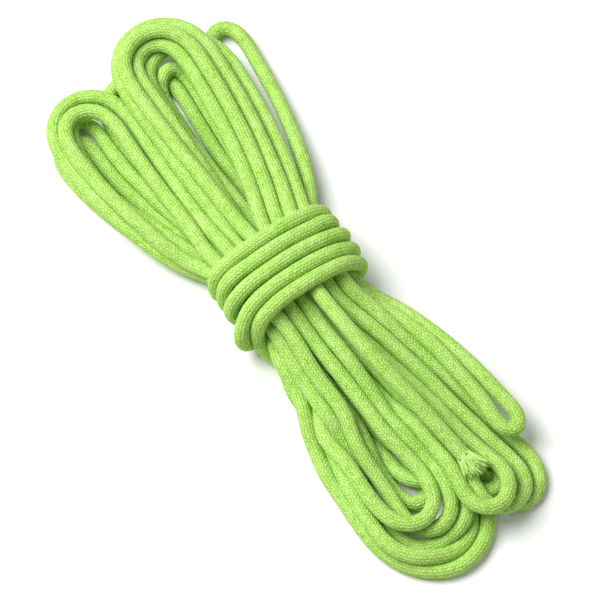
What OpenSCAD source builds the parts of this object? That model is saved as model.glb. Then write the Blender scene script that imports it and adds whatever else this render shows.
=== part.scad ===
// A hank of braided cord: loops laid in four layers, drawn in at the waist by a winding of the same cord.
// One end is tucked under the winding and the other, cut and frayed, lies free on top.
// +X runs along the hank towards the frayed end, +Z is up, and the origin is under the waist on the resting plane.

/* [Cord] */
// Diameter of the cord
cord_d = 6; // [5:0.25:6.5]
// Wall of the braided sheath
sheath_t = 1.1; // [0.8:0.1:1.4]
// Slack between the sheath and the core inside it
core_slack = 0.12; // [0.1:0.02:0.2]
// Least gap between neighbouring lengths of cord
cord_gap = 0.45; // [0.42:0.01:0.6]

/* [Loops] */
// Loops nested side by side in each of the four layers
nested = 3; // [2:1:3]
// Reach of the lower lobe behind the waist, to the outermost centre line
lower_back_reach = 107; // [100:1:115]
// Reach of the lower lobe in front of the waist
lower_front_reach = 125; // [118:1:135]
// Reach of the upper lobe behind the waist
upper_back_reach = 118; // [112:1:125]
// Reach of the upper lobe in front of the waist
upper_front_reach = 114; // [108:1:122]
// How far the second layer of the lower lobe stops short of the first, behind
lower_back_step = 5; // [2:1:8]
// How far the second layer of the lower lobe stops short of the first, in front
lower_front_step = 12; // [6:1:14]
// How far the top layer stops short of the one below it
upper_step = 6; // [3:1:9]
// Sideways place of the lower lobe behind the waist
lower_back_y = -25; // [-30:1:-20]
// Sideways place of the lower lobe in front of the waist
lower_front_y = -5; // [-8:1:-2]
// Sideways place of the upper lobe behind the waist
upper_back_y = 16; // [12:1:20]
// Sideways place of the upper lobe in front of the waist
upper_front_y = 22; // [18:1:26]
// How far the top layer in front lies inwards of the one below it
top_front_inset = 4; // [2:1:6]

/* [Hollows] */
// Extra half width of the lower lobe's hollow behind the waist
lower_back_open = 1.5; // [1:0.5:4]
// Extra half width of the upper lobe's hollow behind the waist
upper_back_open = 5; // [3:0.5:7]
// Extra half width of both hollows in front of the waist
front_open = 3.5; // [3:0.5:6]

/* [Winding] */
// Turns of cord round the waist
turns = 5; // [3:1:6]
// Length of the winding's first and last run under the turns
wrap_lead = 6; // [6:0.5:8]

/* [Frayed end] */
// Gap at the place where the free end starts to lift
lift_gap = 0.3; // [0.3:0.05:0.6]
// Yarns of the sheath that stand out at the cut
sheath_yarns = 16; // [12:2:20]
// Yarns of the core that stand out at the cut
core_yarns = 7; // [5:1:8]
// Length of the longest frayed yarn
fray_l = 7; // [5:0.5:9]
// Angle at which the sheath's yarns splay
fray_angle = 24; // [10:1:35]

/* [Hidden] */

SHEATH_COLOUR = [0.68, 0.93, 0.38];
CORE_COLOUR = [0.84, 0.95, 0.62];
BACK = 0;
FRONT = 1;
LAYERS = 4;
WOUND_SIDES = 6;
FREE_SIDES = 8;

cord_r = cord_d / 2;
bore_r = cord_r - sheath_t;
core_r = bore_r - core_slack;
// The lowest cords are pressed flat by a tenth of their diameter where they rest
rest_z = cord_r - cord_d / 10;

// Spacings of the centre lines: they are wider than the cord and its gap where the runs slant or bend
close = cord_d + cord_gap;
waist_pitch = close * 1.09;
fan_pitch = close * 1.12;
waist_layer = close * 1.01;
fan_layer = close * 1.13;
slant_room = 0.2;
wrap_pitch = close * 1.01;
CORNER_STEP = 30;
wrap_off = close * 1.01 / cos(CORNER_STEP / 2);

// The outermost lane's distance from the middle, in lanes
outer_lane = nested - 0.25;
waist_half = turns * wrap_pitch / 2 + 0.75;
fan_at = [98, 100];

runs = LAYERS * 2 * nested - 1;
under_run = 4 * nested;

reaches = [
    [lower_back_reach, lower_back_reach - lower_back_step, upper_back_reach, upper_back_reach - upper_step],
    [lower_front_reach, lower_front_reach - lower_front_step, upper_front_reach, upper_front_reach - upper_step]];
places = [
    [lower_back_y, lower_back_y, upper_back_y, upper_back_y],
    [lower_front_y, lower_front_y, upper_front_y, upper_front_y - top_front_inset]];
opens = [
    [lower_back_open, lower_back_open, upper_back_open, upper_back_open],
    [front_open, front_open, front_open, front_open]];
// Layers between the resting plane and the upper lobe, where it lies on the lower lobe and at its outer side
lobe_lift = 2.05;
outer_lift = [0.4, 1];
lift_margin = 5.5;

function mix(a, b, t) = a + (b - a) * t;
function ease(t) = let (u = min(1, max(0, t))) u * u * (3 - 2 * u);
function unit(v) = v / norm(v);

// Run k passes the waist once. Even runs go backwards on the +Y side, odd ones come forwards on the -Y side.
// The top and bottom layers wind outwards and the two between wind inwards.
function layer_of(k) = LAYERS - 1 - floor(k / (2 * nested));
function winds_out(k) = layer_of(k) % 3 == 0;
function lane_of(k) = let (j = floor((k % (2 * nested)) / 2)) (winds_out(k) ? j : nested - 1 - j) + 0.75;
function side_of(k) = k % 2 == 0 ? 1 : -1;

function fold_x(e, l) = reaches[e][l] - (outer_lane * fan_pitch + opens[e][l]);
function climbs(k, e) = e == FRONT && k > 0 && k < runs - 1
    && ((k % 2 == 1 && layer_of(k) != layer_of(k + 1)) || (k % 2 == 0 && layer_of(k) != layer_of(k - 1)));
function climb_start(k) = k % 2 == 1 ? k : k - 1;
function run_fold_x(k, e) =
    !climbs(k, e) ? fold_x(e, layer_of(k))
    : let (a = climb_start(k), here = fold_x(e, layer_of(a)), there = fold_x(e, layer_of(a + 1)))
        lane_of(a) > nested - 1 ? max(here, there) : a + 1 == under_run ? here : min(here, there);
// The upper lobe's last run comes back beneath that lobe, so it keeps to the lobe's own middle
function fan_layer_of(k, e) = k == under_run && e == FRONT ? 2 : layer_of(k);
function fan_lane(k, e) = k == under_run && e == FRONT ? 0.75 : lane_of(k);
function fan_half(k, e) = fan_lane(k, e) * fan_pitch + opens[e][fan_layer_of(k, e)];
function fan_place(k, e) = places[e][fan_layer_of(k, e)];

// Height of layer l at a place, drawn together over the winding's underside and sunk to the resting plane in the fans
function lift_at(x, y, e) =
    let (f = ease((x - waist_half) / (fan_at[e] - waist_half)),
        inner = mix(outer_lane * waist_pitch, places[e][1] + outer_lane * fan_pitch + opens[e][1], f) + lift_margin,
        outer = places[e][2] + outer_lane * fan_pitch + opens[e][2])
    mix(lobe_lift, outer_lift[e], min(1, max(0, (y - inner) / (outer - inner))));
function height(x, y, e, l, under) =
    let (s = (x - waist_half) / (fan_at[e] - waist_half),
        step = mix(waist_layer, fan_layer, ease(3 * s)),
        level = under ? lift_at(x, y, e) - 1 : l < 2 ? l : l - 2 + lift_at(x, y, e))
    mix(rest_z + wrap_off + l * step, rest_z + level * step, ease(s));

// A point of run k at distance x from the waist's middle, towards end e
function run_point(k, e, x) =
    let (s = min(1, max(0, (x - waist_half) / (run_fold_x(k, e) - waist_half))),
        f = ease(s),
        off = side_of(k) * mix(lane_of(k) * waist_pitch, fan_half(k, e), f) * (1 + slant_room * 4 * s * (1 - s)),
        y = fan_place(k, e) * f + off,
        under = k == under_run && e == FRONT)
    [(e == BACK ? -1 : 1) * x, y, height(x, y, e, layer_of(k), under)];

// The fold from run k into run k + 1, a round bight that takes its next lane and layer as it turns
FOLD_STEP = 36;
BULGE = 0.6;
FALL = 1.1;
function fold(k) =
    let (e = k % 2 == 0 ? BACK : FRONT,
        climb = climbs(k, e),
        bulge = !climb ? 0 : lane_of(k) > nested - 1 ? BULGE : -BULGE)
    [for (a = [0:FOLD_STEP:180])
        let (q = a / 180,
            r = mix(fan_half(k, e), fan_half(k + 1, e), q) + bulge * fan_pitch * pow(abs(sin(a)), 0.6),
            x0 = mix(run_fold_x(k, e), run_fold_x(k + 1, e), q),
            y = mix(fan_place(k, e), fan_place(k + 1, e), q) + side_of(k) * r * cos(a),
            z0 = height(run_fold_x(k, e), y, e, layer_of(k), false),
            z1 = height(run_fold_x(k + 1, e), y, e, layer_of(k + 1), k + 1 == under_run))
        [(e == BACK ? -1 : 1) * (x0 + r * sin(a)), y, mix(z0, z1, ease(q * (climb ? FALL : 1)))]];

LEG_PARTS = 3;
function leg(k, e, back) =
    [for (i = [0:LEG_PARTS - 1])
        let (part = (back ? LEG_PARTS - 1 - i : i) / LEG_PARTS)
        run_point(k, e, mix(waist_half, run_fold_x(k, e), part))];
function lane_y(k) = side_of(k) * lane_of(k) * waist_pitch;
function row_z(l) = rest_z + wrap_off + l * waist_layer;

lift_x = waist_half;
lead_x = waist_half - wrap_lead;
hank_path = concat(
    [[lift_x - lift_gap / 2, lane_y(0), row_z(LAYERS - 1)]],
    [for (k = [0:runs - 2]) let (e = k % 2 == 0 ? BACK : FRONT)
        each concat(leg(k, e, false), fold(k), leg(k + 1, e, true))],
    [[-lead_x, lane_y(runs - 1), row_z(0)]]);

// The winding rounds the bundle's corners at one spacing from the corner cords, and moves along by its pitch each turn
corner_y = outer_lane * waist_pitch;
low_row = row_z(0);
high_row = row_z(LAYERS - 1);
function wrap_point(i) =
    let (per_turn = 4 * (90 / CORNER_STEP + 1), j = i % per_turn,
        corner = floor(j / (90 / CORNER_STEP + 1)), a = (j % (90 / CORNER_STEP + 1)) * CORNER_STEP + 90 * corner,
        cy = corner == 0 || corner == 3 ? corner_y : -corner_y,
        cz = corner < 2 ? high_row : low_row)
    [wrap_pitch * (i - (wrap_rings - 1) / 2) / per_turn, cy + wrap_off * cos(a), cz + wrap_off * sin(a)];
wrap_rings = turns * 16 - 8;
// A lead leaves the slot of a corner cord and swings out and up into the first turn; the last turn goes in the same way
LEAD_STEPS = 5;
function curve(a, b, c, d, t) =
    pow(1 - t, 3) * a + 3 * pow(1 - t, 2) * t * b + 3 * (1 - t) * t * t * c + pow(t, 3) * d;
slot_end = [-lead_x, corner_y, low_row];
lead_start = slot_end - [cord_d, 0, 0];
lead_end = wrap_point(0) - [0.28, 0, 1.27] * cord_d;
lead = concat([slot_end], [for (i = [0:LEAD_STEPS])
    curve(lead_start, lead_start + [-1.35, 0.9, -0.45] * cord_d, lead_end + [-1.3, 1, -0.45] * cord_d, lead_end,
        i / LEAD_STEPS)]);
function turned(p) = [-p.x, -p.y, p.z];
wrap_path = concat(lead, [for (i = [0:wrap_rings - 1]) wrap_point(i)],
    [for (i = [len(lead) - 1:-1:0]) turned(lead[i])]);

// Points of the free end and the tucked end, chosen by hand
free_end_points = [[lift_x + lift_gap / 2, lane_y(0), high_row], [lift_x + cord_d + 1, lane_y(0), high_row], [30, 5.6, 28.3], [40, 7, 27.6], [52, 10, 26.6],
    [64, 14, 25.2], [74, 17, 24.4], [84, 18, 24.2]];
tucked_end_points = [[lead_x, -corner_y, low_row], [0, -corner_y, low_row], [-14, -corner_y, low_row]];

// Least distance between centre lines, measured on points along them, less the cord's own diameter
MEASURE_PARTS = 3;
function measured(path) = [for (i = [0:len(path) - 2], t = [0:MEASURE_PARTS - 1])
    mix(path[i], path[i + 1], t / MEASURE_PARTS)];
function self_gap(path) = let (p = measured(path), skip = 3 * MEASURE_PARTS)
    min([for (i = [0:len(p) - 1 - skip]) min([for (j = [i + skip:len(p) - 1]) norm(p[i] - p[j])])]) - cord_d;
function pair_gap(a, b) = let (p = measured(a), q = measured(b))
    min([for (u = p) min([for (v = q) norm(u - v)])]) - cord_d;
function length_of(path) = let (steps = [for (i = [1:len(path) - 1]) norm(path[i] - path[i - 1])])
    steps * [for (s = steps) 1];
inner_wrap = [for (i = [len(lead):len(wrap_path) - len(lead) - 1]) wrap_path[i]];
echo(hank_least_gap = self_gap(hank_path), winding_least_gap = self_gap(wrap_path),
    winding_to_hank = pair_gap([for (i = [3:len(wrap_path) - 1]) wrap_path[i]], hank_path),
    free_end_to_hank = pair_gap([for (i = [1:len(free_end_points) - 1]) free_end_points[i]], hank_path));
echo(cord_length = length_of(hank_path) + length_of(wrap_path) + length_of(free_end_points)
    + length_of(tucked_end_points));

// Tubes: a ring square to the path at each of its points, with a flat side down or towards the bundle
UP = [0, 0, 1];
ALONG = [1, 0, 0];
function heading(path, i) =
    let (before = i == 0 ? [0, 0, 0] : unit(path[i] - path[i - 1]),
        after = i == len(path) - 1 ? [0, 0, 0] : unit(path[i + 1] - path[i]))
    unit(before + after);
function across(t, axis) = let (c = cross(t, axis)) norm(c) < 0.02 ? unit(cross(t, [0, 1, 0.001])) : unit(c);
function ring(p, t, axis, r, sides) =
    let (v = across(t, axis), w = cross(v, t), phase = axis == UP ? 0.5 : 0)
    [for (j = [0:sides - 1]) let (a = 360 / sides * (j + phase), q = p + r * (v * sin(a) + w * cos(a)))
        [q.x, q.y, max(0, q.z)]];
function rings(path, axis, r, sides) =
    [for (i = [0:len(path) - 1]) each ring(path[i], heading(path, i), axis, r, sides)];
function wall(n, sides, first, inward) =
    [for (i = [0:n - 2], j = [0:sides - 1])
        let (a = first + i * sides + j, b = first + i * sides + (j + 1) % sides, c = a + sides, d = b + sides)
        each inward ? [[a, b, d], [a, d, c]] : [[a, d, b], [a, c, d]]];

// The origin lies under the middle of the loops' box
loop_rings = rings(hank_path, UP, cord_r, WOUND_SIDES);
xs = [for (q = loop_rings) q.x];
ys = [for (q = loop_rings) q.y];
centre = [(min(xs) + max(xs)) / 2, (min(ys) + max(ys)) / 2, 0];
echo(centre = centre, hinge = [lift_x, lane_y(0), high_row + cord_r] - centre);

module solid_tube(path, axis, r, sides) {
    n = len(path);
    last = (n - 1) * sides;
    polyhedron(rings(path, axis, r, sides), concat(wall(n, sides, 0, false),
        [for (j = [1:sides - 2]) [0, j, j + 1]],
        [for (j = [1:sides - 2]) [last, last + j + 1, last + j]]), convexity = 10);
}

module hollow_tube(path, axis, r_out, r_in, sides) {
    n = len(path);
    inner = n * sides;
    last = (n - 1) * sides;
    polyhedron(concat(rings(path, axis, r_out, sides), rings(path, axis, r_in, sides)), concat(
        wall(n, sides, 0, false), wall(n, sides, inner, true),
        [for (j = [0:sides - 1]) let (k = (j + 1) % sides) each [[j, k, inner + k], [j, inner + k, inner + j]]],
        [for (j = [0:sides - 1]) let (k = (j + 1) % sides)
            each [[last + j, inner + last + k, last + k], [last + j, inner + last + j, inner + last + k]]]),
        convexity = 10);
}

module hank_sheath() {
    color(SHEATH_COLOUR) translate(-centre) hollow_tube(hank_path, UP, cord_r, bore_r, WOUND_SIDES);
}

module hank_core() {
    color(CORE_COLOUR) translate(-centre) solid_tube(hank_path, UP, core_r, WOUND_SIDES);
}

module waist_wrap_sheath() {
    color(SHEATH_COLOUR) translate(-centre) hollow_tube(wrap_path, ALONG, cord_r, bore_r, WOUND_SIDES);
}

module waist_wrap_core() {
    color(CORE_COLOUR) translate(-centre) solid_tube(wrap_path, ALONG, core_r, WOUND_SIDES);
}

module tucked_end_sheath() {
    color(SHEATH_COLOUR) translate(-centre) hollow_tube(tucked_end_points, UP, cord_r, bore_r, FREE_SIDES);
}

module tucked_end_core() {
    color(CORE_COLOUR) translate(-centre) solid_tube(tucked_end_points, UP, core_r, FREE_SIDES);
}

module free_end_sheath() {
    color(SHEATH_COLOUR) translate(-centre) hollow_tube(free_end_points, UP, cord_r, bore_r, FREE_SIDES);
}

module free_end_core() {
    color(CORE_COLOUR) translate(-centre) solid_tube(free_end_points, UP, core_r, FREE_SIDES);
}

// Frayed yarns stand on the cut face in a ring, and each bends outwards and tapers to its tip
cut_at = free_end_points[len(free_end_points) - 1];
cut_heading = heading(free_end_points, len(free_end_points) - 1);
free_flat_r = cord_r * cos(180 / FREE_SIDES);
core_flat_r = core_r * cos(180 / FREE_SIDES);
YARN_SIDES = 6;
YARN_SHARE = 0.85;
YARN_TIP = 0.5;
YARN_UNEVEN = 0.12;

module yarn(length, thickness, splay) {
    stations = [[0, 0, 1], [0.5 * tan(splay / 2), 0.5, 0.8], [0.5 * (tan(splay / 2) + tan(splay)), 1, YARN_TIP]];
    points = [for (s = stations, j = [0:YARN_SIDES - 1]) let (a = 360 / YARN_SIDES * j)
        [s[0] * length + thickness / 2 * s[2] * cos(a), thickness / 2 * s[2] * sin(a), s[1] * length]];
    last = 2 * YARN_SIDES;
    polyhedron(points, concat(wall(3, YARN_SIDES, 0, false),
        [for (j = [1:YARN_SIDES - 2]) [0, j, j + 1]],
        [for (j = [1:YARN_SIDES - 2]) [last, last + j + 1, last + j]]));
}

module yarns(count, at_r, band, splay, length) {
    thickness = min(YARN_SHARE * 2 * at_r * sin(180 / count), 0.9 * band);
    translate(cut_at)
        rotate([0, acos(cut_heading.z), atan2(cut_heading.y, cut_heading.x)])
            for (i = [0:count - 1])
                rotate(360 / count * (i + 0.5))
                    translate([at_r, 0, 0])
                        yarn(length * (1 - YARN_UNEVEN * (i % 3)), thickness, splay);
}

module frayed_sheath_yarns() {
    color(CORE_COLOUR) translate(-centre) yarns(sheath_yarns, (bore_r + free_flat_r) / 2, free_flat_r - bore_r, fray_angle, fray_l);
}

module frayed_core_yarns() {
    color(CORE_COLOUR) translate(-centre) yarns(core_yarns, core_flat_r * 0.62, core_flat_r * 0.7, fray_angle / 3, fray_l);
}

hank_sheath();
hank_core();
waist_wrap_sheath();
waist_wrap_core();
tucked_end_sheath();
tucked_end_core();
free_end_sheath();
free_end_core();
frayed_sheath_yarns();
frayed_core_yarns();
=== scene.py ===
"""Looks of the wrapped cord hank: one braided cord, laid by its own weight, with a frayed cut end."""
import math

import bmesh
import bpy
import numpy as np
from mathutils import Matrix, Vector


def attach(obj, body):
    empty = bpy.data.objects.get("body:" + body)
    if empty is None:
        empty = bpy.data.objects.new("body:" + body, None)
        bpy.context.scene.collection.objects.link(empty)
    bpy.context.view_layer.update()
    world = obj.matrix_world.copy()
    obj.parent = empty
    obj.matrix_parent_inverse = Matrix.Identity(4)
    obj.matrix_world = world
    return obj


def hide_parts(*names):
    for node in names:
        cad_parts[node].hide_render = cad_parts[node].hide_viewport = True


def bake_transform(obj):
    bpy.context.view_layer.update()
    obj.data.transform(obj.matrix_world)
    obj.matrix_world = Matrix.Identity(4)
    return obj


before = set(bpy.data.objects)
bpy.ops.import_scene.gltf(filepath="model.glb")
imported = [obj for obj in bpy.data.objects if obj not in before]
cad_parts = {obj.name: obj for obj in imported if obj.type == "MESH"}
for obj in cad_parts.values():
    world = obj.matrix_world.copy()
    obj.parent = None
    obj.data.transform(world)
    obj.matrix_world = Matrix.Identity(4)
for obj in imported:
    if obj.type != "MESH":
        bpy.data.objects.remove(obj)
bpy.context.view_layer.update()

MM = 0.001

# ---------------------------------------------------------------- sizes, in mm
CORD_D = 6.0
CORD_R = CORD_D / 2
# Where two lengths press on each other they flatten a little, and so does one that lies on the floor
PRESSED_D = 5.7
LOWEST = 2.8
# The route is laid out about the waist; this moves it to the part's own origin
CENTRE = np.array([2.2055, -0.4959, 0.0])
# Distance between the route's points; half the waist's length; where a run has its points in the waist
STEP = 3.0
WAIST_HALF = 15.0
WAIST_POINT = 9.0
# Heights of the runs in the waist, in rows, and of the folds, in levels
ROW_PITCH = 6.0
LOW_ROW = 9.0
LEVEL = 6.2
# A fold's depth against half its width
FOLD_DEPTH = 1.05
# The winding: a full oval round the waist, from its first angle to its last in steps of 20 degrees
TURN_PITCH = 6.0
WRAP_HALF_WIDTH = 24.0
WRAP_HALF_HEIGHT = 15.8
WRAP_MIDDLE = 18.0
WRAP_FULLNESS = 0.85
WRAP_ANGLES = np.radians(np.arange(195, -1451, -20))

# ---------------------------------------------------------------- camera
AZIMUTH = math.radians(58)
ELEVATION = math.radians(65)
# The photo is 600 px wide, and the cord in it 16.3 px
IMAGE_WIDTH_MM = 600 / 16.3 * CORD_D
FOCAL = 200.0
SENSOR = 36.0
DISTANCE_MM = IMAGE_WIDTH_MM * FOCAL / SENSOR
RIGHT = np.array([math.cos(AZIMUTH), math.sin(AZIMUTH), 0])
UP = np.array([-math.sin(AZIMUTH) * math.sin(ELEVATION), math.cos(AZIMUTH) * math.sin(ELEVATION),
               math.cos(ELEVATION)])
BACK = np.array([math.sin(AZIMUTH) * math.cos(ELEVATION), -math.cos(AZIMUTH) * math.cos(ELEVATION),
                 math.sin(ELEVATION)])
AIM = np.array([0.2, 0.5, 16.2]) + 3.3 * RIGHT - 6.3 * UP

camera_data = bpy.data.cameras.new("camera")
camera_data.lens = FOCAL
camera_data.sensor_width = SENSOR
camera = bpy.data.objects.new("camera", camera_data)
bpy.context.scene.collection.objects.link(camera)
camera.location = Vector((AIM + BACK * DISTANCE_MM) * MM)
camera.rotation_euler = Vector(BACK).to_track_quat("Z", "Y").to_euler()
bpy.context.scene.camera = camera

# ---------------------------------------------------------------- route of the cord
# Place of each run in the waist, at the end that holds the even folds: sideways, and its row
EVEN_SLOTS = {21: (-19.5, 2.6), 19: (-14.3, 2.9), 5: (-9.2, 3), 3: (-4, 3.1), 0: (1.4, 3.1), 2: (6.8, 3),
              4: (12.2, 3), 8: (17.4, 2.6), 20: (-20, 1.7), 17: (-14, 2), 13: (-8, 2), 1: (-2, 2.1),
              9: (4, 2), 10: (9.5, 2), 6: (20, 1.7), 18: (-18, 0.8), 16: (-12, 1), 11: (-5, 1),
              15: (7, 1), 7: (14.5, 1.4), 14: (-14, 0), 12: (-8, 0), "tuck": (16, 0)}
# The same at the end that holds the odd folds
ODD_SLOTS = {16: (-15.5, 2.2), 20: (-10, 2), 21: (-7.5, 3), 17: (-2, 3), 0: (3.5, 3.1), 4: (9, 3),
             6: (14.5, 2.8), 18: (-12.7, 3), 19: (-9.5, 1), 1: (-5, 2), 3: (0.5, 2), 2: (6.5, 2.1),
             7: (17, 2.1), 8: (21, 1.5), 14: (-15, 0.2), 15: (-8.5, 0), 13: (-5, 1), 5: (1, 1),
             9: (7, 1), 10: (12.5, 1), 12: (-15.5, 1.1), 11: (-2, 0), "tuck": (16, 0)}
# Each fold: how far it reaches, its two sides across the hank, and its level
FOLDS = {0: (112.5, -2.5, 15.5, 3.2), 2: (115.5, -8, 20.5, 3.7), 4: (120, -10, 26.5, 3.0),
         6: (110, 30, 42, 1.5), 8: (111, 0, 31.8, 2.2), 10: (104, 3, 15, 0.5),
         20: (102.5, -40, -20.5, 2.8), 18: (109.5, -43.5, -13.5, 2.3), 16: (103.5, -37, -25, 1.0),
         14: (110, -21, 10.5, 0.2), 12: (98, -44, -31, 0.0),
         1: (116, 9.5, 26, 2.6), 3: (117, 14, 33.5, 1.9), 5: (116.5, 18, 40.5, 1.3),
         7: (95, 35.6, 41.8, 2.9), 9: (109, 12.5, 25, 1.7),
         21: (106, -19.5, 1, 2.9), 19: (97.5, -8, 3.5, 1.0), 17: (110.5, -12.5, 6.5, 2.0),
         15: (115.5, -18, 11.5, 1.2), 13: (120, -25, 14, 0.7), 11: (122, -25.5, 17, 0.0)}
# Folds whose right side spreads late, and how late
LATE = {10: 1.4, 15: 6.5, 13: 3.0, 11: 3.0, 21: 1.0, 17: 0.9, 1: 0.9, 3: 0.9, 5: 0.8}
# The free end, from the cut back to the waist: points about the middle of the waist
FREE_END = [[95, 15.5, 19.8], [86, 14, 21.6], [74, 12, 24], [61, 9.6, 26.2], [44, 6.5, 28.5], [32, 4.6, 30.2],
            [22, 3.6, 30.5]]
# The last run sinks between its neighbours and comes out under the winding
LAST_LEG = [[82, -20.4, 20.5], [70, -19.6, 19], [60, -18.8, 16.5], [51, -17.5, 12]]
# Beneath the hank, from the last run into the winding, and from the winding to the tucked end
LEAD_IN = [[42, -15.5, 8], [33, -13, 5.5], [26, -14, 5], [19, -19.5, 8]]
LEAD_OUT = [[-15.8, 25, 8.5], [-19, 22, 6.5], [-19.3, 18, 6.6], [-15, 16.3, 8]]
LAST_FOLD = 21
# Relaxing: how often near lengths are looked for, how much further than they touch, and how many points
# along the cord are too close to count; and the points at the cut end that stay straight
SEEK_EVERY = 8
SEEK_MARGIN = 2
OWN_POINTS = 5
STRAIGHT_POINTS = 6


def ease(t):
    """From 0 to 1 with a slow start and a slow stop."""
    t = np.clip(t, 0, 1)
    return t * t * (3 - 2 * t)


def spread(t, far):
    """How soon a leg moves sideways after it leaves the waist: the outermost ones at once."""
    s = np.sin(np.clip(t, 0, 1) * math.pi / 2)
    return 0.6 * s ** (0.6 if abs(far) > 32 else 0.8) + 0.4 * s


def end_of(fold):
    """The end of the hank a fold lies at: odd ones at +x, even ones at -x."""
    return 1 if fold % 2 else -1


def slot(run, end):
    """Place and height of a run in the waist, at one end of it."""
    side, row = (ODD_SLOTS if end > 0 else EVEN_SLOTS)[run]
    return side, LOW_ROW + row * ROW_PITCH


def through_waist(run, end):
    """Two points of a run in the waist, on the side where it comes in and on the far side."""
    return [[end * WAIST_POINT, *slot(run, end)], [-end * WAIST_POINT, *slot(run, -end)]]


def first_leg_is_right(fold):
    """Whether the leg that leads into a fold is the one with the higher y."""
    if fold < 11:
        return fold % 2 == 0
    return fold == 11 or fold % 2 == 1


def shoulder(fold):
    """Where along the hank a fold begins to turn back."""
    reach, low, high, _ = FOLDS[fold]
    return reach - (high - low) / 2 * FOLD_DEPTH


def leg(fold, run, first):
    """Points of a run from the waist to where the fold begins."""
    _, low, high, level = FOLDS[fold]
    right = first_leg_is_right(fold) == first
    side = high if right else low
    end = end_of(fold)
    y, z = slot(run, end)
    s = np.linspace(0, 1, 7)
    x = WAIST_HALF + (shoulder(fold) - WAIST_HALF) * s
    if right and fold in LATE:
        share = np.clip(s * 1.02, 0, 1) ** LATE[fold]
    elif end > 0 and side < -13:
        share = ease(s * 1.15)
    else:
        share = spread(s * 1.02, side)
    return np.stack([end * x, y + (side - y) * share, z + (CORD_R + level * LEVEL - z) * ease(s * 1.1)], 1)


def bight(fold):
    """Points of a fold's turn, from its first leg round to its second."""
    _, low, high, level = FOLDS[fold]
    half = (high - low) / 2
    a = np.radians(np.arange(15, 166, 15))
    side = 1 if first_leg_is_right(fold) else -1
    return np.stack([end_of(fold) * (shoulder(fold) + half * FOLD_DEPTH * np.sin(a)),
                     (low + high) / 2 + side * half * np.cos(a),
                     np.full(len(a), CORD_R + LEVEL * level)], 1)


def near_angle(a, middle, width):
    """1 at an angle round the winding, less on either side of it."""
    return np.exp(-((a - math.radians(middle)) / math.radians(width)) ** 2)


def control_points():
    """Points of the whole cord from the cut end to the tucked one, and what each belongs to."""
    points, kinds = [], []

    def add(new, kind):
        for p in new:
            points.append([float(c) for c in p])
            kinds.append(kind)

    add(FREE_END, "free")
    add(through_waist(0, 1), "waist")
    for fold in range(LAST_FOLD + 1):
        add(leg(fold, fold, True), "loop")
        add(bight(fold), "loop")
        if fold < LAST_FOLD:
            add(leg(fold, fold + 1, False)[::-1], "loop")
            add(through_waist(fold + 1, end_of(fold)), "waist")
    _, low, _, level = FOLDS[LAST_FOLD]
    add([[shoulder(LAST_FOLD), low, CORD_R + LEVEL * level]] + LAST_LEG, "loop")
    add(LEAD_IN, "lead")
    a = WRAP_ANGLES
    turns = (a - a.mean()) / (2 * math.pi)
    round_y = np.sign(np.cos(a)) * np.abs(np.cos(a)) ** WRAP_FULLNESS
    round_z = np.sign(np.sin(a)) * np.abs(np.sin(a)) ** WRAP_FULLNESS
    # The first turn starts close in, and the second swings out round it
    inset = near_angle(a, 195, 40)
    swing = near_angle(a, -170, 42)
    add(np.stack([TURN_PITCH * turns + 5.5 * swing, WRAP_HALF_WIDTH * round_y - 3.2 * swing + 2.5 * inset,
                  WRAP_MIDDLE + WRAP_HALF_HEIGHT * round_z], 1), "turns")
    add(LEAD_OUT, "lead")
    y, z = slot("tuck", -1)
    add([[-8, y, z], [8, y, z]], "tuck")
    return np.array(points), np.array(kinds)


def along(points):
    """Distance of each point along the curve."""
    return np.concatenate([[0], np.cumsum(np.linalg.norm(np.diff(points, axis=0), axis=1))])


def resample(points, step):
    """The same curve, cut into equal steps."""
    s = along(points)
    t = np.linspace(0, s[-1], int(round(s[-1] / step)) + 1)
    return np.stack([np.interp(t, s, points[:, i]) for i in range(3)], 1)


def smooth_curve(points, step):
    """A smooth curve through the points, cut into equal steps."""
    q = np.vstack([2 * points[0] - points[1], points, 2 * points[-1] - points[-2]])
    out = []
    for i in range(1, len(q) - 2):
        p0, p1, p2, p3 = q[i - 1:i + 3]
        t1 = max(np.linalg.norm(p1 - p0), 1e-6) ** 0.5
        t2 = t1 + max(np.linalg.norm(p2 - p1), 1e-6) ** 0.5
        t3 = t2 + max(np.linalg.norm(p3 - p2), 1e-6) ** 0.5
        t = np.linspace(t1, t2, 9)[:-1][:, None]
        a1 = (t1 - t) / t1 * p0 + t / t1 * p1
        a2 = (t2 - t) / (t2 - t1) * p1 + (t - t1) / (t2 - t1) * p2
        a3 = (t3 - t) / (t3 - t2) * p2 + (t - t2) / (t3 - t2) * p3
        b1 = (t2 - t) / t2 * a1 + t / t2 * a2
        b2 = (t3 - t) / (t3 - t1) * a2 + (t - t1) / (t3 - t1) * a3
        out.append((t2 - t) / (t2 - t1) * b1 + (t - t1) / (t2 - t1) * b2)
    out.append(points[-1][None])
    return resample(np.vstack(out), step)


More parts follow.
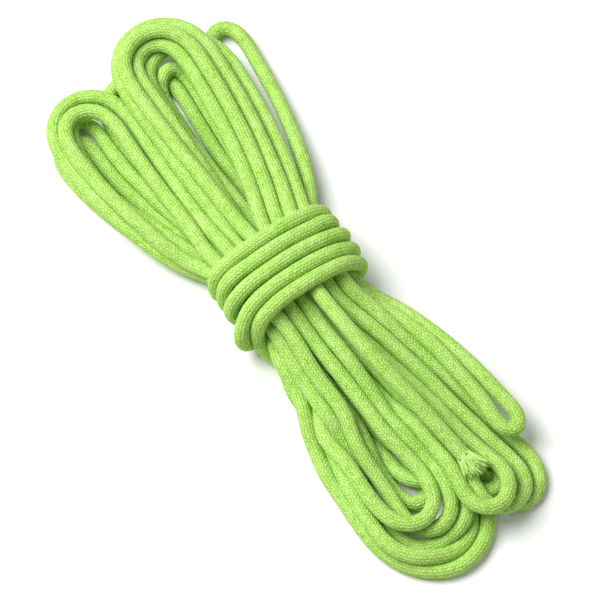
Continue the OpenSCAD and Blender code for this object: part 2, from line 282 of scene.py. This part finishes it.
def settle(x, home, hold, rounds, start_d, end_d, grow, weight, stiff, floor):
    """Lets the cord swell to its diameter, sink and bend, while it stays near its laid-out place."""
    n = len(x)
    order = np.arange(n)
    for i in range(rounds):
        d = start_d + (end_d - start_d) * min(1, i / grow)
        if i % SEEK_EVERY == 0:
            y = x.astype(np.float32)
            square = (y * y).sum(1)
            near = square[:, None] + square[None] - 2 * y @ y.T < (d + SEEK_MARGIN) ** 2
            a, b = np.nonzero(near)
            apart = b - a > OWN_POINTS
            a, b = a[apart], b[apart]
        x[:, 2] -= weight
        x += (home - x) * hold
        bend = np.zeros_like(x)
        bend[2:-2] = (-x[:-4] + 4 * x[1:-3] + 4 * x[3:-1] - x[4:]) / 6 - x[2:-2]
        x += stiff * bend
        for _ in range(2):
            v = x[a] - x[b]
            dist = np.sqrt((v * v).sum(1)) + 1e-9
            hit = dist < d
            push = (v[hit] / dist[hit][:, None]) * ((d - dist[hit]) * 0.5)[:, None]
            count = np.bincount(a[hit], minlength=n) + np.bincount(b[hit], minlength=n)
            move = np.stack([np.bincount(a[hit], weights=push[:, c], minlength=n)
                             - np.bincount(b[hit], weights=push[:, c], minlength=n) for c in range(3)], 1)
            x += move / np.maximum(1, count / 1.6)[:, None]
        x[:, 2] = np.maximum(x[:, 2], floor)
        for first in (0, 1, 0, 1):
            k = order[first:-1:2]
            v = x[k + 1] - x[k]
            length = np.sqrt((v * v).sum(1))
            fix = v * ((length - STEP) / length * 0.25)[:, None]
            x[k] += fix
            x[k + 1] -= fix
    return x


controls, control_kinds = control_points()
laid = smooth_curve(controls, STEP)
control_s = along(controls)
laid_s = along(laid)
nearest = np.searchsorted((control_s[1:] + control_s[:-1]) / 2, laid_s * control_s[-1] / laid_s[-1])
kinds = control_kinds[nearest]
# How firmly each point is held where it was laid: most in the waist and the winding, least in height
hold = np.full((len(laid), 3), 0.045)
hold[(kinds == "waist") | (kinds == "turns")] = 0.10
hold[(kinds == "loop") | (kinds == "free"), 2] = 0.012
route = settle(laid.copy(), laid, hold, rounds=320, start_d=2.0, end_d=PRESSED_D, grow=220,
               weight=0.03, stiff=0.35, floor=LOWEST)
hold[kinds == "free", 2] = 0.1
route = settle(route, laid, hold * 0.4, rounds=260, start_d=PRESSED_D, end_d=PRESSED_D + 0.1, grow=50,
               weight=0.05, stiff=0.4, floor=LOWEST)
for _ in range(2):
    route[1:-1] = route[1:-1] * 0.5 + (route[:-2] + route[2:]) * 0.25
# The cut end keeps the straightness it had on the reel
lie = (route[STRAIGHT_POINTS] - route[STRAIGHT_POINTS + 4]) / 4
route[:STRAIGHT_POINTS] = route[STRAIGHT_POINTS] + lie * np.arange(STRAIGHT_POINTS, 0, -1)[:, None]
route = route - CENTRE

# The cord is cut under the winding for the free end, beneath the waist for the loops, and where the last
# turn ends for the tucked end; the plait runs on from one length to the next
free_stop = int(np.argmax(kinds == "waist")) + 3
turn_at = np.nonzero(kinds == "turns")[0]
under = turn_at[:40]
loops_stop = int(under[np.argmin(route[under, 2])])
turns_stop = int(turn_at[-1])

# ---------------------------------------------------------------- plaited tube
# Columns of stitches round the cord, a stitch's length in mm, its slant, and how full its profiles are
COLUMNS = 14
STITCH = 1.4
SLANT = 0.8
COLUMN_FULLNESS = 0.6
STITCH_FULLNESS = 0.7
# The tube in mm: mean radius, depth of the plait, distance between rings; and its sides
TUBE_R = 2.78
RELIEF = 0.17
RING = 0.45
SIDES = 42
# The cord's skin stays this far above the floor, in mm
FLOOR_GAP = 0.02
# Stitches along the cord to one unit of its UV map
UV_STITCHES = 100.0
# The braid opens a little at the cut, over about this many mm
FLARE_LENGTH = 2.0
rng = np.random.default_rng(7)


def wander(s, span, amount):
    """A smooth random drift along the cord, with one random value each span millimetres."""
    knots = rng.uniform(-1, 1, int(s[-1] / span) + 4)
    t = s / span
    k = t.astype(int)
    f = ease(t - k)
    return amount * (knots[k] * (1 - f) + knots[k + 1] * f)


def plait(u, v):
    """Height of the plait, 0 to 1, at u stitches along and v turns round: its columns slant to and fro."""
    c = v * COLUMNS
    column = np.floor(c)
    across = c - column - 0.5
    phase = u + SLANT * across * (1 - 2 * (column % 2)) + 0.5 * (column % 2)
    return (np.abs(np.cos(math.pi * across)) ** COLUMN_FULLNESS
            * np.abs(np.sin(math.pi * phase)) ** STITCH_FULLNESS)


def frames(points):
    """Directions along and across a curve, carried along it without twist."""
    t = np.gradient(points, axis=0)
    t /= np.linalg.norm(t, axis=1)[:, None]
    side = np.cross(t[0], [0, 0, 1.0])
    if np.linalg.norm(side) < 0.1:
        side = np.cross(t[0], [0, 1.0, 0])
    sides = [side / np.linalg.norm(side)]
    for i in range(1, len(points)):
        s = sides[-1] - t[i] * (sides[-1] @ t[i])
        sides.append(s / np.linalg.norm(s))
    sides = np.array(sides)
    return t, sides, np.cross(t, sides)


whole = resample(route, RING)
whole_t, whole_a, whole_b = frames(whole)
whole_s = along(whole)
# Stitches vary in length, and the columns creep round the cord
stitch_u = whole_s / STITCH + wander(whole_s, 9, 0.35) + wander(whole_s, 2.5, 0.12)
stitch_v = whole_s * 0.0012 + wander(whole_s, 60, 0.12) + wander(whole_s, 6, 0.012)
swell = 1 + wander(whole_s, 14, 0.012) + wander(whole_s, 3, 0.006)


def new_mesh(name, vertices, faces, uv=None):
    """A smooth object from vertices in mm and faces that all have the same number of sides."""
    mesh = bpy.data.meshes.new(name)
    faces = np.asarray(faces, np.int32)
    mesh.vertices.add(len(vertices))
    mesh.vertices.foreach_set("co", (np.asarray(vertices) * MM).astype(np.float32).ravel())
    mesh.loops.add(faces.size)
    mesh.loops.foreach_set("vertex_index", faces.ravel())
    mesh.polygons.add(len(faces))
    mesh.polygons.foreach_set("loop_start", np.arange(0, faces.size, faces.shape[1], dtype=np.int32))
    mesh.polygons.foreach_set("loop_total", np.full(len(faces), faces.shape[1], np.int32))
    if uv is not None:
        mesh.uv_layers.new(name="plait").data.foreach_set("uv", np.asarray(uv, np.float32).ravel())
    mesh.update(calc_edges=True)
    mesh.validate()
    mesh.polygons.foreach_set("use_smooth", np.ones(len(faces), bool))
    obj = bpy.data.objects.new(name, mesh)
    bpy.context.scene.collection.objects.link(obj)
    return obj


def plaited_tube(name, start_s, end_s, flare=0.0):
    """The cord between two places along it: a closed tube, with the plait's relief on its surface."""
    i0, i1 = np.searchsorted(whole_s, [start_s - 1e-6, end_s - 1e-6])
    i1 = min(i1, len(whole) - 1)
    p, a, b, s = whole[i0:i1 + 1], whole_a[i0:i1 + 1], whole_b[i0:i1 + 1], whole_s[i0:i1 + 1]
    n = len(p)
    angle = np.arange(SIDES) / SIDES
    u, v = stitch_u[i0:i1 + 1], stitch_v[i0:i1 + 1]
    r = TUBE_R * swell[i0:i1 + 1, None] + RELIEF * (plait(u[:, None], (angle[None] + v[:, None]) % 1) - 0.5)
    if flare:
        r = r * (1 + flare * np.exp(-(s - s[0]) / FLARE_LENGTH))[:, None]
    co = p[:, None] + r[..., None] * (np.cos(2 * math.pi * angle)[None, :, None] * a[:, None]
                                      + np.sin(2 * math.pi * angle)[None, :, None] * b[:, None])
    co = co.reshape(-1, 3)
    co[:, 2] = np.maximum(co[:, 2], FLOOR_GAP)
    i, j = np.meshgrid(np.arange(n - 1), np.arange(SIDES), indexing="ij")
    corners = (i, j), (i, j + 1), (i + 1, j + 1), (i + 1, j)
    quads = np.stack([ring * SIDES + side % SIDES for ring, side in corners], -1).reshape(-1, 4)
    uv = np.stack([np.stack([u[ring] / UV_STITCHES, side / SIDES + v[ring]], -1)
                   for ring, side in corners], 2)
    first, last, end_ring = len(co), len(co) + 1, (n - 1) * SIDES
    obj = new_mesh(name, np.vstack([co, p[0], p[-1]]), quads, uv.reshape(-1, 2))
    add_triangles(obj, [[first, (j + 1) % SIDES, j] for j in range(SIDES)]
                  + [[last, end_ring + j, end_ring + (j + 1) % SIDES] for j in range(SIDES)])
    return obj


def add_triangles(obj, triangles):
    """Closes a tube's two ends with fans about their centres."""
    bm = bmesh.new()
    bm.from_mesh(obj.data)
    bm.verts.ensure_lookup_table()
    for t in triangles:
        face = bm.faces.new([bm.verts[k] for k in t])
        face.smooth = False
    bm.to_mesh(obj.data)
    bm.free()


s_at = along(route)
s_at = s_at * whole_s[-1] / s_at[-1]
free_end_cord = plaited_tube("free_end_cord", s_at[0], s_at[free_stop], flare=0.04)
loops_cord = plaited_tube("loops_cord", s_at[free_stop], s_at[loops_stop])
winding_cord = plaited_tube("winding_cord", s_at[loops_stop], s_at[turns_stop])
tucked_cord = plaited_tube("tucked_cord", s_at[turns_stop], s_at[-1])

# ---------------------------------------------------------------- frayed yarns
tip, tip_dir = whole[0], -whole_t[0]
tip_a, tip_b = whole_a[0], whole_b[0]
# How deep in the cord the yarns start, and how far their ends hang down, in mm
YARN_ROOT = 0.8
YARN_DROOP = 0.9


def yarn_tuft(name, count, inner, outer, splay, length, thick):
    """A tuft of loose yarns that leave the cut face between two radii and bend outwards."""
    sides, rings = 6, 7
    vertices, faces = [], []
    for _ in range(count):
        angle = rng.uniform(0, 2 * math.pi)
        radius = math.sqrt(rng.uniform(inner ** 2, outer ** 2))
        out = math.cos(angle) * tip_a + math.sin(angle) * tip_b
        turn = math.cos(angle + math.pi / 2) * tip_a + math.sin(angle + math.pi / 2) * tip_b
        lean = splay * radius / outer * rng.uniform(0.6, 1.3)
        curl = rng.uniform(-0.35, 0.35)
        size = length * rng.uniform(0.65, 1.1)
        t = np.linspace(0, 1, rings)
        line = ((tip - tip_dir * YARN_ROOT + out * radius * 0.95)[None]
                + t[:, None] * size * tip_dir[None] * math.cos(lean)
                + (t ** 1.4)[:, None] * size * math.sin(lean) * out[None]
                + (t ** 2)[:, None] * size * curl * turn[None] * 0.5
                - (t ** 2)[:, None] * np.array([0, 0, YARN_DROOP])[None])
        _, a, b = frames(line)
        r = thick * rng.uniform(0.7, 1.2) * (1 - 0.55 * t ** 2)
        base = len(vertices) * sides * rings
        ring_angles = 2 * math.pi * np.arange(sides) / sides
        co = line[:, None] + r[:, None, None] * (np.cos(ring_angles)[None, :, None] * a[:, None]
                                                 + np.sin(ring_angles)[None, :, None] * b[:, None])
        vertices.append(co.reshape(-1, 3))
        for ring in range(base, base + (rings - 1) * sides, sides):
            for j in range(sides):
                k = (j + 1) % sides
                faces.append([ring + j, ring + k, ring + sides + k, ring + sides + j])
        last = base + (rings - 1) * sides
        faces += [[last, last + 1, last + 2, last + 3], [last, last + 3, last + 4, last + 5]]
    return new_mesh(name, np.vstack(vertices), faces)


sheath_tuft = yarn_tuft("sheath_tuft", 120, inner=1.7, outer=2.9, splay=0.36, length=8.6, thick=0.32)
core_tuft = yarn_tuft("core_tuft", 110, inner=0.0, outer=1.9, splay=0.22, length=8.8, thick=0.30)

# ---------------------------------------------------------------- materials


def cotton(name, dark_tone_and_shade, middle, pale, plaited):
    """Matt dyed cotton: plaited, with a tint for each stitch, painted shade in the gaps between stitches and
    painted light on their tops, or loose and fibrous.
    """
    material = bpy.data.materials.new(name)
    material.use_nodes = True
    tree = material.node_tree
    links = tree.links
    shader = tree.nodes["Principled BSDF"]
    for socket, value in (("Roughness", 0.95), ("Specular IOR Level", 0.04), ("Sheen Weight", 0.04),
                          ("Sheen Roughness", 0.6), ("Sheen Tint", (0.75, 1.0, 0.35, 1))):
        shader.inputs[socket].default_value = value

    def join(value, socket):
        if isinstance(value, (int, float)):
            socket.default_value = value
        else:
            links.new(value, socket)

    def maths(operation, a, b=0.0):
        n = tree.nodes.new("ShaderNodeMath")
        n.operation = operation
        join(a, n.inputs[0])
        join(b, n.inputs[1])
        return n.outputs[0]

    def noise(scale, detail):
        n = tree.nodes.new("ShaderNodeTexNoise")
        n.inputs["Scale"].default_value = scale
        n.inputs["Detail"].default_value = detail
        links.new(place, n.inputs["Vector"])
        return n.outputs["Fac"]

    place = tree.nodes.new("ShaderNodeTexCoord").outputs["Object"]
    fibre = noise(2200, 3)
    speck = noise(900, 2)
    patch = noise(120, 2)
    if plaited:
        uv = tree.nodes.new("ShaderNodeUVMap")
        uv.uv_map = "plait"
        split = tree.nodes.new("ShaderNodeSeparateXYZ")
        links.new(uv.outputs[0], split.inputs[0])
        # The stitches of the mesh again, so that the colour's painted shade in the gaps and the relief agree
        # with its shape
        u = maths("MULTIPLY", split.outputs[0], UV_STITCHES)
        c = maths("MULTIPLY", split.outputs[1], float(COLUMNS))
        column = maths("FLOOR", c)
        across = maths("SUBTRACT", maths("SUBTRACT", c, column), 0.5)
        odd = maths("FLOORED_MODULO", column, 2.0)
        sign = maths("SUBTRACT", 1.0, maths("MULTIPLY", odd, 2.0))
        phase = maths("ADD", maths("ADD", u, maths("MULTIPLY", maths("MULTIPLY", across, SLANT), sign)),
                      maths("MULTIPLY", odd, 0.5))
        rise = maths("ABSOLUTE", maths("COSINE", maths("MULTIPLY", across, math.pi)))
        stitch = maths("ABSOLUTE", maths("SINE", maths("MULTIPLY", phase, math.pi)))
        height = maths("MULTIPLY", maths("POWER", rise, COLUMN_FULLNESS),
                       maths("POWER", stitch, STITCH_FULLNESS))
        each = tree.nodes.new("ShaderNodeCombineXYZ")
        links.new(maths("FLOORED_MODULO", column, float(COLUMNS)), each.inputs[0])
        links.new(maths("FLOOR", phase), each.inputs[1])
        tint = tree.nodes.new("ShaderNodeTexWhiteNoise")
        tint.noise_dimensions = "2D"
        links.new(each.outputs[0], tint.inputs["Vector"])
        own = tint.outputs["Value"]
    else:
        height = fibre
        own = speck
    # Tone of the colour: for the plait, its height paints shade into the gaps between stitches and light onto
    # their tops; the noises and each stitch's tint are the cotton's own random tone
    tone_and_plait_shade = maths("MULTIPLY", height, 0.30)
    for part, share in ((fibre, 0.44), (speck, 0.40), (own, 0.12), (patch, 0.20)):
        tone_and_plait_shade = maths("ADD", tone_and_plait_shade, maths("MULTIPLY", part, share))
    ramp = tree.nodes.new("ShaderNodeValToRGB")
    ramp.color_ramp.elements[0].position = 0.36
    ramp.color_ramp.elements[0].color = (*dark_tone_and_shade, 1)
    ramp.color_ramp.elements[1].position = 0.94
    ramp.color_ramp.elements[1].color = (*pale, 1)
    between = ramp.color_ramp.elements.new(0.68)
    between.color = (*middle, 1)
    links.new(tone_and_plait_shade, ramp.inputs[0])
    links.new(ramp.outputs[0], shader.inputs["Base Color"])
    relief = maths("ADD", height, maths("MULTIPLY", fibre, 0.6))
    bump = tree.nodes.new("ShaderNodeBump")
    bump.inputs["Strength"].default_value = 0.7
    bump.inputs["Distance"].default_value = 0.0003
    links.new(relief, bump.inputs["Height"])
    links.new(bump.outputs[0], shader.inputs["Normal"])
    return material


# The braid's dark end is painted shade as well as the cotton's dark tone, and its pale end is painted light
# on the stitches' tops as well as pale tone
braid = cotton("braided_cotton", (0.075, 0.27, 0.005), (0.36, 0.63, 0.095), (0.57, 0.80, 0.29), True)
# The cut yarns' colours are paler than the braid's: partly their own tone and partly painted light that lifts
# the tuft's own shade
loose = cotton("cut_yarn", (0.30, 0.58, 0.07), (0.54, 0.82, 0.22), (0.68, 0.90, 0.34), False)
for obj in (free_end_cord, loops_cord, winding_cord, tucked_cord):
    obj.data.materials.append(braid)
for obj in (sheath_tuft, core_tuft):
    obj.data.materials.append(loose)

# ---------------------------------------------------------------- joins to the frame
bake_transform(free_end_cord)
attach(loops_cord, "hank")
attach(winding_cord, "hank")
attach(tucked_cord, "hank")
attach(sheath_tuft, "free_end")
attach(core_tuft, "free_end")
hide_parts("free_end_sheath", "free_end_core")
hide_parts("hank_sheath", "hank_core")
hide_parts("waist_wrap_sheath", "waist_wrap_core")
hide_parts("tucked_end_sheath", "tucked_end_core")
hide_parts("frayed_sheath_yarns")
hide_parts("frayed_core_yarns")

# ---------------------------------------------------------------- floor and light
floor_mesh = bpy.data.meshes.new("floor")
floor_mesh.from_pydata([(-3, -3, 0), (3, -3, 0), (3, 3, 0), (-3, 3, 0)], [], [(0, 1, 2, 3)])
floor = bpy.data.objects.new("floor", floor_mesh)
bpy.context.scene.collection.objects.link(floor)
floor_paint = bpy.data.materials.new("pale_floor")
floor_paint.use_nodes = True
floor_shader = floor_paint.node_tree.nodes["Principled BSDF"]
floor_shader.inputs["Base Color"].default_value = (0.93, 0.93, 0.93, 1)
floor_shader.inputs["Roughness"].default_value = 0.9
floor_mesh.materials.append(floor_paint)

# A studio photograph's plain tones: the dye's bright green isn't greyed
bpy.context.scene.view_settings.view_transform = "Standard"
world = bpy.data.worlds.new("studio")
world.use_nodes = True
world.node_tree.nodes["Background"].inputs[0].default_value = (1, 1, 1, 1)
world.node_tree.nodes["Background"].inputs[1].default_value = 0.14
bpy.context.scene.world = world
LAMP_DISTANCE = 1.2


def softbox(name, direction, size, power):
    """A square lamp that looks at the hank's middle."""
    data = bpy.data.lights.new(name, "AREA")
    data.shape = "SQUARE"
    data.size = size
    data.energy = power
    lamp = bpy.data.objects.new(name, data)
    bpy.context.scene.collection.objects.link(lamp)
    d = Vector(direction).normalized()
    lamp.location = Vector(AIM * MM) + d * LAMP_DISTANCE
    lamp.rotation_euler = d.to_track_quat("Z", "Y").to_euler()


softbox("key", -0.55 * RIGHT + 0.55 * UP + 0.8 * BACK, 0.9, 23)
softbox("fill", 0.9 * RIGHT + 0.1 * UP + 0.6 * BACK, 1.0, 3)
